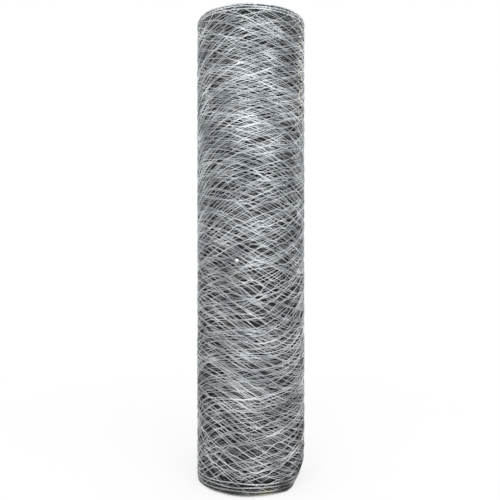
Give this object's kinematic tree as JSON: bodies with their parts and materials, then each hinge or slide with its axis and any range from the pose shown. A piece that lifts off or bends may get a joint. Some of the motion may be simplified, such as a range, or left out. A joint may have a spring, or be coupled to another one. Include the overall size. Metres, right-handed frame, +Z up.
{
  "type": "roll of chicken wire",
  "caption": "Galvanised hexagonal wire netting wound into a tight roll with an open bore, standing on its end.",
  "frame": {"origin": "on the roll's axis, in the plane of the end that it stands on", "axes": "+Z up along the roll's axis, which is across the width of the netting; +X and +Y are across the roll"},
  "size_m": [0.1449, 0.1448, 0.6096],
  "materials": {
    "galvanised_wire": "hot-dip galvanised, dull spangle"
  },
  "bodies": {
    "root": {"netting_roll": "galvanised_wire"}
  },
  "joints": []
}
